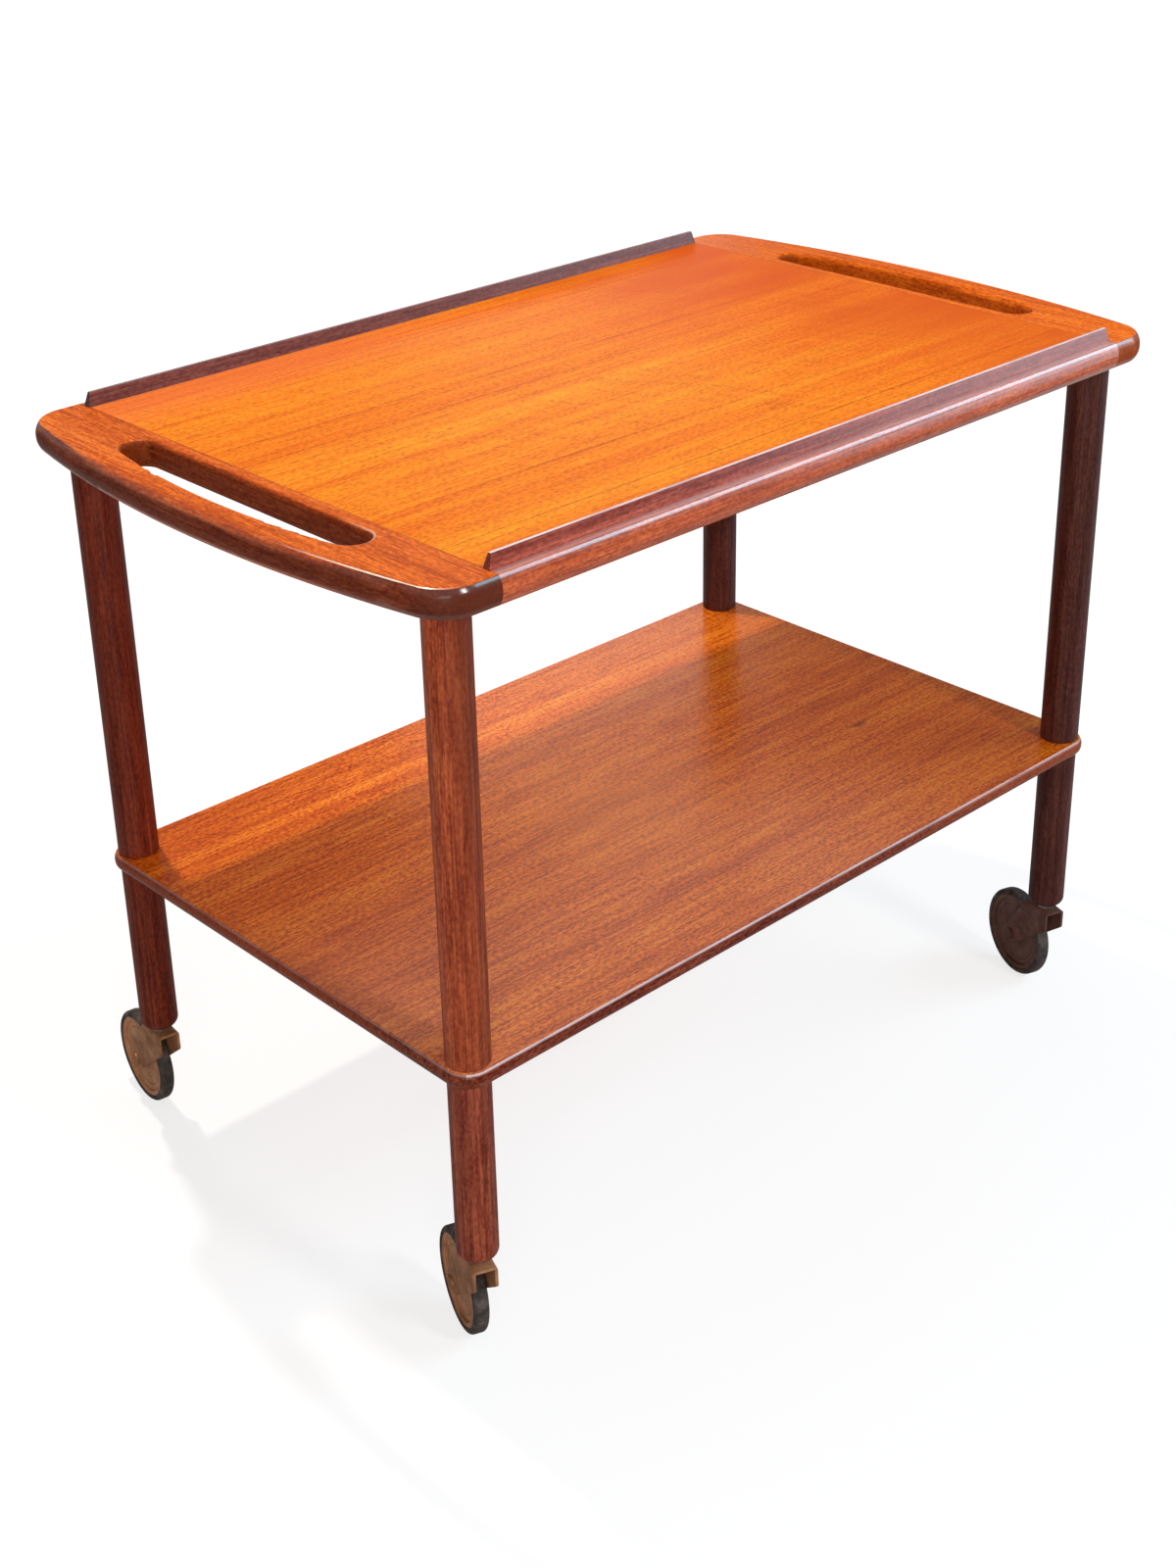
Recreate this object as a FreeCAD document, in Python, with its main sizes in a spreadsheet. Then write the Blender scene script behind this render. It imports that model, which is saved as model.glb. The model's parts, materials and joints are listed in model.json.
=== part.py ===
import FreeCAD, Part
import math
import os
import re
import Sketcher

# A teak serving trolley: a tray with a handle at each end, four round legs, a thin shelf and four casters.
# The origin is on the floor under the middle of the tray. X runs along the tray, +Y to its back, +Z up.

# Sizes in millimetres, turns in degrees, shares as plain ratios
SIZES = (
    ("tray_length", "755", "tray over the middle of its bowed ends"),
    ("tray_width", "459", "tray over its long edges"),
    ("tray_thickness", "20", "tray boards, top face to underside"),
    ("tray_top_height", "596", "floor to the tray's top face"),
    ("tray_corner_radius", "31", "tray's corners in plan"),
    ("tray_edge_radius", "14", "arc of the tray's bowed outer edges"),
    ("tray_edge_flat", "1", "flat in the middle of the bowed edge"),
    ("tray_arris_round", "1.5", "round where the edge's arc meets the tray's faces"),
    ("tray_lipping_width", "17", "solid wood along the tray's long edges"),
    ("end_bow", "25", "how far the tray's ends bow out"),
    ("handle_bar_width", "23.5", "bar outside the hand slot, at its middle"),
    ("slot_width", "34", "hand slot across, at its middle"),
    ("slot_length", "258", "hand slot from end to end"),
    ("slot_setback", "11", "wood between the end seam and the hand slot"),
    ("slot_end_share", "0.35", "radius of the slot's ends as a share of its width"),
    ("slot_edge_round", "4", "round along the hand slot's edges"),
    ("tongue_thickness", "5", "loose tongue in the end seam"),
    ("tongue_depth", "5", "loose tongue's reach into each board"),
    ("tongue_end_gap", "10", "wood between the tongue and a leg's spigot"),
    ("strip_height", "10.4", "gallery strip above the tray"),
    ("strip_base_width", "6.4", "gallery strip at the tray"),
    ("strip_top_width", "2.2", "gallery strip along its top"),
    ("strip_setback", "10.2", "tray's long edge to the strip's foot"),
    ("strip_end_overlap", "1", "strip's reach past the end seam"),
    ("strip_end_slope", "3", "how much shorter each strip end is at its top"),
    ("strip_edge_round", "0.9", "round along the strip's top edges"),
    ("strip_tongue_width", "3", "tongue under the gallery strip"),
    ("strip_tongue_depth", "4", "tongue's reach into the lipping"),
    ("strip_tongue_inset", "12", "tongue's end, in from the end seam"),
    ("leg_end_inset", "53.5", "tray's end to a leg's axis"),
    ("leg_side_inset", "35.5", "tray's long edge to a leg's axis"),
    ("upper_leg_diameter", "31", "leg between the shelf and the tray"),
    ("upper_leg_ease", "1.2", "eased edge at the upper leg's foot"),
    ("spigot_diameter", "18", "spigot on the leg, let into the tray"),
    ("spigot_length", "13", "spigot's reach into the tray"),
    ("spigot_glue_gap", "0.15", "glue line round and over the spigot"),
    ("shelf_top_height", "248", "floor to the shelf's top face"),
    ("shelf_thickness", "12", "shelf board and its lippings"),
    ("shelf_overhang", "3.4", "shelf past the legs' outer sides"),
    ("shelf_lipping_width", "10", "solid wood round the shelf"),
    ("shelf_edge_radius", "8", "arc across the shelf's outer edges"),
    ("shelf_edge_flat", "1", "upright flat between the two arcs of the shelf's edge"),
    ("shelf_arris_round", "1.5", "round where the shelf's edge meets its faces"),
    ("stud_diameter", "8", "stud that joins two leg lengths through the shelf"),
    ("stud_reach", "25", "stud's reach into each leg length"),
    ("stud_gap", "0.15", "room round the stud in its holes"),
    ("lower_leg_diameter", "29.8", "leg under the shelf"),
    ("foot_round", "7", "round at the lower leg's foot"),
    ("socket_diameter", "11", "caster socket's sleeve"),
    ("socket_length", "40", "caster socket's reach into the leg"),
    ("socket_gap", "0.1", "room round and over the sleeve"),
    ("flange_diameter", "15", "caster socket's flange under the leg"),
    ("flange_thickness", "2.2", "caster socket's flange"),
    ("stem_diameter", "8", "swivel stem of the caster"),
    ("stem_reach", "36", "stem's reach above the fork"),
    ("stem_head_diameter", "12", "riveted head under the fork's plate"),
    ("stem_head_thickness", "2", "riveted head under the fork's plate"),
    ("stem_end_round", "2", "round at the stem's top"),
    ("running_gap", "0.05", "room round a turning stem or axle"),
    ("turning_gap", "0.4", "room between faces that turn past each other"),
    ("washer_diameter", "14", "washer on the fork's plate"),
    ("washer_thickness", "1.2", "washer on the fork's plate"),
    ("fork_sheet", "2.2", "steel strip that the fork is bent from"),
    ("fork_front_reach", "14", "fork's plate ahead of the swivel axis"),
    ("fork_rear_reach", "14", "fork's plate behind the swivel axis"),
    ("fork_front_drop", "17", "front edge of a fork cheek"),
    ("fork_boss_radius", "9.5", "fork cheek round the axle"),
    ("fork_corner_round", "5", "front lower corner of a fork cheek"),
    ("fork_bend_round", "3", "bend between the plate and the cheeks"),
    ("wheel_diameter", "77.5", "wheel over its tyre"),
    ("wheel_trail", "34.5", "swivel axis to the axle"),
    ("wheel_plate_gap", "4.3", "top of the wheel to the fork's plate"),
    ("wheel_side_gap", "1.2", "tyre to a fork cheek"),
    ("tyre_width", "11.5", "tyre over its side walls"),
    ("tyre_thickness", "4.5", "tyre from its seat to its tread"),
    ("tyre_round", "3", "round along the tread's edges"),
    ("rim_depth", "4", "raised rim of the wheel's disc"),
    ("rim_width", "9.6", "raised rim of the wheel's disc"),
    ("web_thickness", "6", "wheel's disc between its rim and its hub"),
    ("hub_diameter", "17", "wheel's hub"),
    ("hub_width", "12.6", "wheel's hub"),
    ("axle_diameter", "6", "axle through the fork's cheeks"),
    ("axle_head_diameter", "10", "axle's riveted heads"),
    ("axle_head_thickness", "1.6", "axle's riveted heads"),
    ("front_left_trail_angle", "69", "way that the front left caster trails, from +X"),
    ("front_right_trail_angle", "71.5", "way that the front right caster trails, from +X"),
    ("back_left_trail_angle", "83", "way that the back left caster trails, from +X"),
    ("back_right_trail_angle", "75", "way that the back right caster trails, from +X"),
    ("overrun", "1", "how far cuts run past a face"),
)
NAMES = {name for name, number, meaning in SIZES}
TINY = 0.0001
FULL_TURN = 360
HALF_TURN = 180
CORNERS = (
    ("front_left", "-1", "-1"),
    ("front_right", "1", "-1"),
    ("back_left", "-1", "1"),
    ("back_right", "1", "1"),
)

# Heights
TRAY_UNDERSIDE = "(tray_top_height - tray_thickness)"
SHELF_UNDERSIDE = "(shelf_top_height - shelf_thickness)"
FORK_TOP = "(wheel_diameter + wheel_plate_gap + fork_sheet)"
WASHER_TOP = f"({FORK_TOP} + washer_thickness)"
FLANGE_FOOT = f"({WASHER_TOP} + turning_gap)"
LEG_FOOT = f"({FLANGE_FOOT} + flange_thickness)"

# Places in plan
END_WIDTH = "(slot_setback + slot_width + handle_bar_width)"
SEAM = f"(tray_length / 2 - {END_WIDTH})"
EDGE_RISE = "((tray_thickness - tray_edge_flat) / 2)"
EDGE_INSET = f"(tray_edge_radius - sqrt(tray_edge_radius ^ 2 - {EDGE_RISE} ^ 2))"
EDGE_TRIM = f"(tray_edge_radius - {EDGE_RISE})"
LEG_X = "(tray_length / 2 - leg_end_inset)"
LEG_Y = "(tray_width / 2 - leg_side_inset)"
SHELF_EDGE_RISE = "((shelf_thickness - shelf_edge_flat) / 2)"
SHELF_EDGE_TRIM = f"(shelf_edge_radius - {SHELF_EDGE_RISE})"
SHELF_EDGE_INSET = f"(shelf_edge_radius - sqrt(shelf_edge_radius ^ 2 - {SHELF_EDGE_RISE} ^ 2))"
TONGUE_LENGTH = f"(2 * ({LEG_Y} - spigot_diameter / 2 - tongue_end_gap))"
SHELF_CORNER = "(upper_leg_diameter / 2 + shelf_overhang)"
SHELF_X = f"({LEG_X} + {SHELF_CORNER})"
SHELF_Y = f"({LEG_Y} + {SHELF_CORNER})"
FORK_GAP = "(tyre_width + 2 * wheel_side_gap)"
FORK_WIDTH = f"({FORK_GAP} + 2 * fork_sheet)"

document = FreeCAD.newDocument("serving_trolley")
sizes = document.addObject("Spreadsheet::Sheet", "Sizes")
for row, (name, number, meaning) in enumerate(SIZES, start=1):
    sizes.set(f"A{row}", name)
    sizes.set(f"B{row}", number)
    sizes.setAlias(f"B{row}", name)
    sizes.set(f"C{row}", meaning)
document.recompute()
nodes = []


def bound(text):
    """The same expression, with each size's name pointing at its cell."""
    return re.sub(r"[a-z_]+", lambda word: f"Sizes.{word[0]}" if word[0] in NAMES else word[0], text)


def value(text):
    return float(sizes.evalExpression(bound(text)))


def new_body(label):
    body = document.addObject("PartDesign::Body", label)
    body.Label = label
    nodes.append(body)
    return body


def place(item, across="0", back="0", up="0", turn="0"):
    """Sets where a piece stands and how far it is turned about the vertical."""
    item.Placement = FreeCAD.Placement(FreeCAD.Vector(), FreeCAD.Rotation(FreeCAD.Vector(0, 0, 1), 1))
    item.setExpression("Placement.Base.x", bound(across))
    item.setExpression("Placement.Base.y", bound(back))
    item.setExpression("Placement.Base.z", bound(up))
    item.setExpression("Placement.Rotation.Angle", bound(turn))


def new_sketch(body, role, offset="0"):
    """An empty sketch on one of the body's own planes, moved along that plane's normal."""
    sketch = body.newObject("Sketcher::SketchObject", "Sketch")
    plane = [feature for feature in body.Origin.OriginFeatures if feature.Role == role]
    sketch.AttachmentSupport = [(plane[0], "")]
    sketch.MapMode = "FlatFace"
    sketch.setExpression("AttachmentOffset.Base.z", bound(offset))
    return sketch


def hold(sketch, kind, *where, text):
    """Adds a dimension to a sketch and ties it to an expression."""
    index = sketch.addConstraint(Sketcher.Constraint(kind, *where, value(text)))
    label = f"dimension_{index}"
    sketch.renameConstraint(index, label)
    sketch.setExpression(f"Constraints.{label}", bound(text))


def pin(sketch, edge, end, across, up):
    """Ties one point of an edge to its place in the sketch."""
    for axis, kind, text in ((-2, "DistanceX", across), (-1, "DistanceY", up)):
        if text == "0":
            sketch.addConstraint(Sketcher.Constraint("PointOnObject", edge, end, axis))
        else:
            hold(sketch, kind, -1, 1, edge, end, text=text)


def left_arc(start, end, radius):
    """The shorter arc from start to end that turns left."""
    chord = end - start
    rise = math.sqrt(max(radius ** 2 - (chord.Length / 2) ** 2, 0))
    aside = FreeCAD.Vector(-chord.y, chord.x, 0).normalize()
    centre = start + chord / 2 + aside * rise
    from_centre, to_centre = start - centre, end - centre
    circle = Part.Circle(centre, FreeCAD.Vector(0, 0, 1), radius)
    first = math.atan2(from_centre.y, from_centre.x)
    return Part.ArcOfCircle(circle, first, math.atan2(to_centre.y, to_centre.x))


def outline(sketch, corners):
    """A closed outline. A corner is (across, up), or has a radius too where a left-turning arc leaves it."""
    spots = [FreeCAD.Vector(value(corner[0]), value(corner[1]), 0) for corner in corners]
    following = spots[1:] + spots[:1]
    first = sketch.GeometryCount
    for corner, spot, next_spot in zip(corners, spots, following):
        if len(corner) == 2:
            sketch.addGeometry(Part.LineSegment(spot, next_spot), False)
        else:
            sketch.addGeometry(left_arc(spot, next_spot, value(corner[2])), False)
    for step, corner in enumerate(corners):
        edge = first + step
        sketch.addConstraint(Sketcher.Constraint("Coincident", edge, 2, first + (step + 1) % len(corners), 1))
        pin(sketch, edge, 1, corner[0], corner[1])
        if len(corner) == 3:
            hold(sketch, "Radius", edge, text=corner[2])


def rectangle(sketch, low, high):
    """A rectangle between two corners, each (across, up)."""
    outline(sketch, (low, (high[0], low[1]), high, (low[0], high[1])))


def circle(sketch, across, up, radius):
    spot = FreeCAD.Vector(value(across), value(up), 0)
    edge = sketch.addGeometry(Part.Circle(spot, FreeCAD.Vector(0, 0, 1), value(radius)), False)
    pin(sketch, edge, 3, across, up)
    hold(sketch, "Radius", edge, text=radius)


def pad(body, sketch, length):
    feature = body.newObject("PartDesign::Pad", "Pad")
    feature.Profile = sketch
    feature.setExpression("Length", bound(length))
    document.recompute()
    return feature


def pocket(body, sketch, depth, along_normal=True):
    """Cuts along the sketch's normal, or against it, and makes sure that something was cut."""
    before = body.Tip.Shape.Volume
    feature = body.newObject("PartDesign::Pocket", "Pocket")
    feature.Profile = sketch
    feature.Reversed = along_normal
    feature.setExpression("Length", bound(depth))
    document.recompute()
    if feature.Shape.Volume > before - TINY:
        raise RuntimeError(f"{body.Label}: {feature.Name} cuts nothing")
    return feature


def revolve(body, sketch, axis):
    feature = body.newObject("PartDesign::Revolution", "Revolution")
    feature.Profile = sketch
    feature.ReferenceAxis = (sketch, [axis])
    feature.Angle = FULL_TURN
    document.recompute()
    return feature


def fillet(body, radius, wanted):
    """Rounds the edges that pass a test on the edge's shape."""
    base = body.Tip
    names = [f"Edge{index}" for index, edge in enumerate(base.Shape.Edges, start=1) if wanted(edge)]
    feature = body.newObject("PartDesign::Fillet", "Fillet")
    feature.Base = (base, names)
    feature.setExpression("Radius", bound(radius))
    document.recompute()
    return feature


def level(edge):
    return edge.BoundBox.ZLength < TINY


def in_face(edge, thickness):
    """Whether an edge lies in the top face or the underside of a board of the thickness given."""
    box = edge.BoundBox
    return level(edge) and (box.ZMin > value(thickness) - TINY or abs(box.ZMax) < TINY)


def turned_piece(label, corners, axis="V_Axis", role="XZ_Plane"):
    """A piece turned from one half outline: upright in the XZ plane, or along Y in the YZ plane."""
    body = new_body(label)
    sketch = new_sketch(body, role)
    outline(sketch, corners)
    revolve(body, sketch, axis)
    return body


# Tray: panel, bowed ends with hand slots, lippings, tongues and gallery strips

def tongue_groove(body, low, high):
    """Groove for the loose tongue, at mid thickness between two places along X."""
    sketch = new_sketch(body, "XY_Plane", "(tray_thickness - tongue_thickness) / 2")
    rectangle(sketch, (low, f"-{TONGUE_LENGTH} / 2"), (high, f"{TONGUE_LENGTH} / 2"))
    pocket(body, sketch, "tongue_thickness")


def tray_panel():
    body = new_body("tray_panel")
    half_width = "(tray_width / 2 - tray_lipping_width)"
    sketch = new_sketch(body, "XY_Plane")
    rectangle(sketch, (f"-{SEAM}", f"-{half_width}"), (SEAM, half_width))
    pad(body, sketch, "tray_thickness")
    tongue_groove(body, f"{SEAM} - tongue_depth", f"{SEAM} + overrun")
    tongue_groove(body, f"-{SEAM} - overrun", f"-{SEAM} + tongue_depth")
    place(body, up=TRAY_UNDERSIDE)


def end_outline():
    """The end board in plan: seam, sides, corners and the bowed end."""
    side = "(tray_width / 2)"
    bow = "((tray_width ^ 2 / 4 + end_bow ^ 2) / (2 * end_bow))"
    bow_centre = f"(tray_length / 2 - {bow})"
    inner = f"({bow} - tray_corner_radius)"
    corner_y = f"({side} - tray_corner_radius)"
    corner_run = f"sqrt({inner} ^ 2 - {corner_y} ^ 2)"
    corner_x = f"({bow_centre} + {corner_run})"
    meet_x = f"({bow_centre} + {corner_run} * {bow} / {inner})"
    meet_y = f"({corner_y} * {bow} / {inner})"
    return (
        (SEAM, f"-{side}"),
        (corner_x, f"-{side}", "tray_corner_radius"),
        (meet_x, f"-{meet_y}", bow),
        (meet_x, meet_y, "tray_corner_radius"),
        (corner_x, side),
        (SEAM, side),
    )


def slot_outline():
    """The hand slot in plan: a straight inner side, round ends and a bowed outer side."""
    end_radius = "(slot_width * slot_end_share)"
    end_y = f"(slot_length / 2 - {end_radius})"
    rise = f"(slot_width - 2 * {end_radius})"
    bow = f"(({end_y} ^ 2 + slot_width * {rise}) / (2 * {rise}))"
    inner_x = f"({SEAM} + slot_setback)"
    bow_centre = f"({inner_x} + slot_width - {bow})"
    meet_share = f"({bow} / ({bow} - {end_radius}))"
    meet_x = f"({bow_centre} + ({inner_x} + {end_radius} - {bow_centre}) * {meet_share})"
    meet_y = f"({end_y} * {meet_share})"
    return (
        (inner_x, end_y),
        (inner_x, f"-{end_y}", end_radius),
        (meet_x, f"-{meet_y}", bow),
        (meet_x, meet_y, end_radius),
    )


def handle_end(label, turn):
    body = new_body(label)
    seam = value(SEAM)
    sketch = new_sketch(body, "XY_Plane", f"-{EDGE_TRIM}")
    outline(sketch, end_outline())
    pad(body, sketch, f"tray_thickness + 2 * {EDGE_TRIM}")
    fillet(body, "tray_edge_radius", lambda edge: level(edge) and edge.BoundBox.XMax > seam + TINY)
    for face, upward in (("tray_thickness", True), ("0", False)):
        sketch = new_sketch(body, "XY_Plane", face)
        rectangle(sketch, (f"{SEAM} - overrun", "-tray_width"), ("tray_length", "tray_width"))
        pocket(body, sketch, f"{EDGE_TRIM} + overrun", along_normal=upward)

    def arris(edge):
        return in_face(edge, "tray_thickness") and edge.BoundBox.XMax > seam + TINY

    fillet(body, "tray_arris_round", arris)
    sketch = new_sketch(body, "XY_Plane")
    outline(sketch, slot_outline())
    pocket(body, sketch, "tray_thickness + overrun")
    inner, outer, reach = value(f"{SEAM} + slot_setback"), value("tray_length / 2"), value("slot_length / 2")
    bar = value("handle_bar_width") / 2

    def slot_edge(edge):
        box = edge.BoundBox
        across = box.XMin > inner - TINY and box.XMax < outer - bar
        return level(edge) and across and box.YMax < reach + TINY and box.YMin > -reach - TINY

    fillet(body, "slot_edge_round", slot_edge)
    tongue_groove(body, f"{SEAM} - overrun", f"{SEAM} + tongue_depth")
    sketch = new_sketch(body, "XY_Plane")
    for leg_y in (LEG_Y, f"-{LEG_Y}"):
        circle(sketch, LEG_X, leg_y, "spigot_diameter / 2 + spigot_glue_gap")
    pocket(body, sketch, "spigot_length + spigot_glue_gap")
    place(body, up=TRAY_UNDERSIDE, turn=turn)


def end_tongue(label, side):
    body = new_body(label)
    sketch = new_sketch(body, "XY_Plane")
    rectangle(sketch, ("-tongue_depth", f"-{TONGUE_LENGTH} / 2"), ("tongue_depth", f"{TONGUE_LENGTH} / 2"))
    pad(body, sketch, "tongue_thickness")
    place(body, across=f"{side} * {SEAM}", up=f"{TRAY_UNDERSIDE} + (tray_thickness - tongue_thickness) / 2")


STRIP_TONGUE_FOOT = "(tray_width / 2 - strip_setback - (strip_base_width - strip_tongue_width) / 2)"


def strip_tongue(body, offset):
    """Outline of the gallery strip's tongue, at a height of the body's own."""
    sketch = new_sketch(body, "XY_Plane", offset)
    reach = f"({SEAM} - strip_tongue_inset)"
    inner = f"({STRIP_TONGUE_FOOT} - strip_tongue_width)"
    rectangle(sketch, (f"-{reach}", f"-{STRIP_TONGUE_FOOT}"), (reach, f"-{inner}"))
    return sketch


def tray_lipping(label, turn):
    body = new_body(label)
    outer = "(tray_width / 2)"
    inner = "(tray_width / 2 - tray_lipping_width)"
    edge_top = f"({outer} - {EDGE_INSET})"
    sketch = new_sketch(body, "YZ_Plane", f"-{SEAM}")
    outline(sketch, (
        (f"-{inner}", "0"),
        (f"-{inner}", "tray_thickness"),
        (f"-{edge_top}", "tray_thickness", "tray_edge_radius"),
        (f"-{outer}", f"tray_thickness - {EDGE_RISE}"),
        (f"-{outer}", EDGE_RISE, "tray_edge_radius"),
        (f"-{edge_top}", "0"),
    ))
    pad(body, sketch, f"2 * {SEAM}")
    inner_side = -value(inner)

    def arris(edge):
        return in_face(edge, "tray_thickness") and edge.BoundBox.YMax < inner_side - TINY

    fillet(body, "tray_arris_round", arris)
    pocket(body, strip_tongue(body, "tray_thickness"), "strip_tongue_depth", along_normal=False)
    place(body, up=TRAY_UNDERSIDE, turn=turn)


def strip_side_cut(body, reach, foot, lean):
    """Slopes one long side of the strip. Its foot stays, and its top leans along Y by the length given."""
    past = "(strip_height + overrun)"
    top_y = f"(-{foot} + {lean} * {past} / strip_height)"
    outside = f"(-{foot} - overrun * {lean} / abs({lean}))"
    corners = (
        (f"-{foot}", "0"),
        (top_y, past),
        (outside, past),
        (outside, "0"),
    )
    sketch = new_sketch(body, "YZ_Plane", f"-{reach} - overrun")
    outline(sketch, corners)
    pocket(body, sketch, f"2 * ({reach} + overrun)")


def gallery_strip(label, turn):
    body = new_body(label)
    reach = f"({SEAM} + strip_end_overlap)"
    top_reach = f"({reach} - strip_end_slope)"
    foot = "(tray_width / 2 - strip_setback)"
    inner_foot = f"({foot} - strip_base_width)"
    slope = "((strip_base_width - strip_top_width) / 2)"
    sketch = new_sketch(body, "XZ_Plane", inner_foot)
    outline(sketch, (
        (f"-{reach}", "0"),
        (reach, "0"),
        (top_reach, "strip_height"),
        (f"-{top_reach}", "strip_height"),
    ))
    pad(body, sketch, "strip_base_width")
    strip_side_cut(body, reach, foot, slope)
    strip_side_cut(body, reach, inner_foot, f"(-{slope})")
    height = value("strip_height")
    fillet(body, "strip_edge_round", lambda edge: level(edge) and edge.BoundBox.ZMin > height - TINY)
    pad(body, strip_tongue(body, "-strip_tongue_depth"), "strip_tongue_depth")
    place(body, up="tray_top_height", turn=turn)


# Legs, with the studs that clamp the shelf between their two lengths

def upper_leg(label, side_x, side_y):
    radius = "(upper_leg_diameter / 2)"
    top = TRAY_UNDERSIDE
    bore = "(stud_diameter / 2 + stud_gap)"
    body = turned_piece(label, (
        (bore, "shelf_top_height"),
        (f"{radius} - upper_leg_ease", "shelf_top_height", "upper_leg_ease"),
        (radius, "shelf_top_height + upper_leg_ease"),
        (radius, top),
        ("spigot_diameter / 2", top),
        ("spigot_diameter / 2", f"{top} + spigot_length"),
        ("0", f"{top} + spigot_length"),
        ("0", "shelf_top_height + stud_reach"),
        (bore, "shelf_top_height + stud_reach"),
    ))
    place(body, f"{side_x} * {LEG_X}", f"{side_y} * {LEG_Y}")


def lower_leg(label, side_x, side_y):
    radius = "(lower_leg_diameter / 2)"
    stud_bore = "(stud_diameter / 2 + stud_gap)"
    socket_bore = "(socket_diameter / 2 + socket_gap)"
    body = turned_piece(label, (
        (socket_bore, LEG_FOOT),
        (f"{radius} - foot_round", LEG_FOOT, "foot_round"),
        (radius, f"{LEG_FOOT} + foot_round"),
        (radius, SHELF_UNDERSIDE),
        (stud_bore, SHELF_UNDERSIDE),
        (stud_bore, f"{SHELF_UNDERSIDE} - stud_reach"),
        ("0", f"{SHELF_UNDERSIDE} - stud_reach"),
        ("0", f"{LEG_FOOT} + socket_length + socket_gap"),
        (socket_bore, f"{LEG_FOOT} + socket_length + socket_gap"),
    ))
    place(body, f"{side_x} * {LEG_X}", f"{side_y} * {LEG_Y}")


def leg_studs():
    studs = []
    for corner, side_x, side_y in CORNERS:
        stud = document.addObject("Part::Cylinder", f"leg_stud_{corner}")
        stud.setExpression("Radius", bound("stud_diameter / 2"))
        stud.setExpression("Height", bound("shelf_thickness + 2 * stud_reach"))
        place(stud, f"{side_x} * {LEG_X}", f"{side_y} * {LEG_Y}", f"{SHELF_UNDERSIDE} - stud_reach")
        studs.append(stud)
    group = document.addObject("Part::Compound", "leg_studs")
    group.Label = "leg_studs"
    group.Links = studs
    nodes.append(group)


# Shelf: a board with mitred lippings whose corners follow the legs

def shelf_panel():
    body = new_body("shelf_panel")
    half_x = f"({SHELF_X} - shelf_lipping_width)"
    half_y = f"({SHELF_Y} - shelf_lipping_width)"
    sketch = new_sketch(body, "XY_Plane")
    rectangle(sketch, (f"-{half_x}", f"-{half_y}"), (half_x, half_y))
    for corner, side_x, side_y in CORNERS:
        circle(sketch, f"{side_x} * {LEG_X}", f"{side_y} * {LEG_Y}", "stud_diameter / 2 + stud_gap")
    pad(body, sketch, "shelf_thickness")
    place(body, up=SHELF_UNDERSIDE)


def shelf_lipping(label, half_length, half_width, turn):
    """One side of the shelf's edge, drawn along its front and turned to its own side. It is rounded as a
    thicker board and then trimmed to the shelf's two faces."""
    body = new_body(label)
    mitre = f"({SHELF_CORNER} * (1 - sqrt(1 / 2)))"
    sketch = new_sketch(body, "XY_Plane", f"-{SHELF_EDGE_TRIM}")
    outline(sketch, (
        (f"-({half_length} - {mitre})", f"-({half_width} - {mitre})", SHELF_CORNER),
        (f"-({half_length} - {SHELF_CORNER})", f"-{half_width}"),
        (f"{half_length} - {SHELF_CORNER}", f"-{half_width}", SHELF_CORNER),
        (f"{half_length} - {mitre}", f"-({half_width} - {mitre})"),
        (f"{half_length} - shelf_lipping_width", f"-({half_width} - shelf_lipping_width)"),
        (f"-({half_length} - shelf_lipping_width)", f"-({half_width} - shelf_lipping_width)"),
    ))
    pad(body, sketch, f"shelf_thickness + 2 * {SHELF_EDGE_TRIM}")
    outside = -value(f"{half_width} - {mitre}")
    fillet(body, "shelf_edge_radius", lambda edge: level(edge) and edge.BoundBox.YMax < outside + TINY)
    for face, upward in (("shelf_thickness", True), ("0", False)):
        sketch = new_sketch(body, "XY_Plane", face)
        far_corner = (f"{half_length} + overrun", "0")
        rectangle(sketch, (f"-{half_length} - overrun", f"-{half_width} - overrun"), far_corner)
        pocket(body, sketch, f"{SHELF_EDGE_TRIM} + overrun", along_normal=upward)
    arris_end = -value(f"{half_width} - {mitre} - {SHELF_EDGE_INSET} * sqrt(1 / 2)")

    def arris(edge):
        return in_face(edge, "shelf_thickness") and edge.BoundBox.YMax < arris_end + TINY

    fillet(body, "shelf_arris_round", arris)
    place(body, up=SHELF_UNDERSIDE, turn=turn)


# Casters: a socket in the leg, a fork that swivels on its stem, and a wheel that turns on its axle

def caster_socket(label, side_x, side_y):
    bore = "(stem_diameter / 2 + running_gap)"
    body = turned_piece(label, (
        (bore, FLANGE_FOOT),
        ("flange_diameter / 2", FLANGE_FOOT),
        ("flange_diameter / 2", LEG_FOOT),
        ("socket_diameter / 2", LEG_FOOT),
        ("socket_diameter / 2", f"{LEG_FOOT} + socket_length"),
        (bore, f"{LEG_FOOT} + socket_length"),
    ))
    place(body, f"{side_x} * {LEG_X}", f"{side_y} * {LEG_Y}")


def swivel_stem(label, side_x, side_y, turn):
    radius = "(stem_diameter / 2)"
    head_foot = f"({FORK_TOP} - fork_sheet - stem_head_thickness)"
    top = f"({FORK_TOP} + stem_reach)"
    body = turned_piece(label, (
        ("0", head_foot),
        ("stem_head_diameter / 2", head_foot),
        ("stem_head_diameter / 2", f"{FORK_TOP} - fork_sheet"),
        (radius, f"{FORK_TOP} - fork_sheet"),
        (radius, f"{top} - stem_end_round", "stem_end_round"),
        (f"{radius} - stem_end_round", top),
        ("0", top),
    ))
    place(body, f"{side_x} * {LEG_X}", f"{side_y} * {LEG_Y}", turn=turn)


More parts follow.
